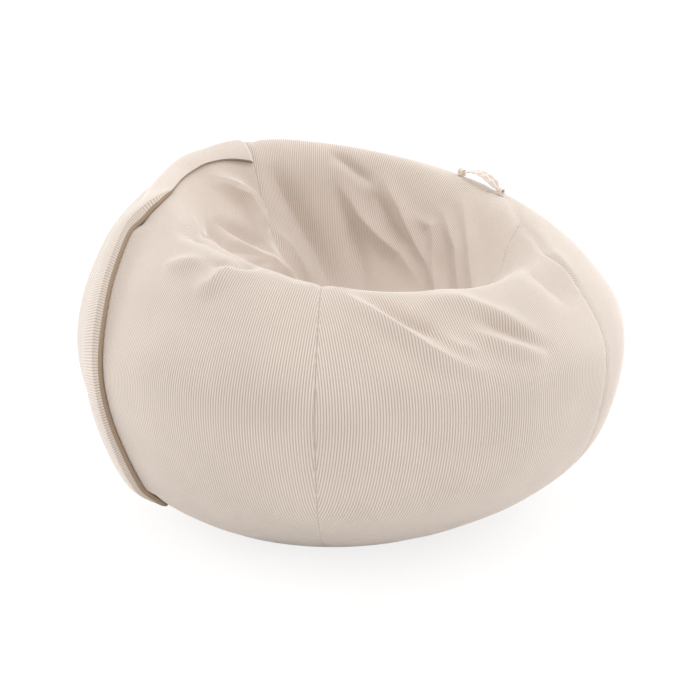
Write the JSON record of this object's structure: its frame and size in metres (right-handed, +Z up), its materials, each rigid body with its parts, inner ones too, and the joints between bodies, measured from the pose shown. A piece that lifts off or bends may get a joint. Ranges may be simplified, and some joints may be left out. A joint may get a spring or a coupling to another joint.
{
  "type": "bean bag chair",
  "caption": "Round corduroy bean bag seat with a hollowed top, a raised back, a flap-covered zip with slider and pull, a carry handle and a lined loose filling.",
  "frame": {"origin": "on the floor under the chair, in the base panel's lower face", "axes": "+Z up, the sitter faces -Y, +X to the sitter's left as they sit"},
  "size_m": [1.1169, 1.0917, 0.675],
  "materials": {
    "cord": "wide-wale corduroy pile",
    "liner_cloth": "plain weave",
    "webbing": "cord-covered strap",
    "zip_tape": "woven tape",
    "zip_coil": "moulded coil",
    "zip_metal": "satin paint",
    "label_cloth": "satin ribbon, blank",
    "beads": "loose foam beads"
  },
  "bodies": {
    "bag": {"left_front_panel": "cord", "right_front_panel": "cord", "seat_back_panel": "cord", "left_rear_panel": "cord", "right_rear_panel": "cord", "base_panel": "cord", "left_front_liner": "liner_cloth", "right_front_liner": "liner_cloth", "seat_back_liner": "liner_cloth", "left_rear_liner": "liner_cloth", "right_rear_liner": "liner_cloth", "base_liner": "liner_cloth", "bead_filling": "beads", "zip_placket": "cord", "zip_tape_front": "zip_tape", "zip_tape_rear": "zip_tape", "zip_coil_front": "zip_coil", "zip_coil_rear": "zip_coil", "zip_top_stop": "zip_metal", "zip_bottom_stop": "zip_metal", "zip_flap": "cord", "handle_loop_front": "webbing", "handle_loop_rear": "webbing", "care_label": "label_cloth"},
    "zip_slider": {"zip_slider": "zip_metal"},
    "zip_pull": {"zip_pull": "zip_metal"},
    "carry_handle": {"carry_handle": "webbing"}
  },
  "joints": [
    {"name": "zip_slide", "type": "hinge", "parent": "bag", "child": "zip_slider", "pos_m": [-0.216, 0.215, 0.303], "axis": [0.315, -0.933, 0.174], "range_deg": [0, 88]},
    {"name": "pull_lift", "type": "hinge", "parent": "zip_slider", "child": "zip_pull", "pos_m": [-0.42286, 0.20238, 0.59312], "axis": [-0.0528, 0.8698, -0.4905], "range_deg": [0, 120], "deforming": ["zip_flap"]},
    {"name": "handle_swing", "type": "hinge", "parent": "bag", "child": "carry_handle", "pos_m": [0.37079, -0.00348, 0.60182], "axis": [0.0418, 0.9842, 0.1719], "range_deg": [-30, 30]}
  ]
}
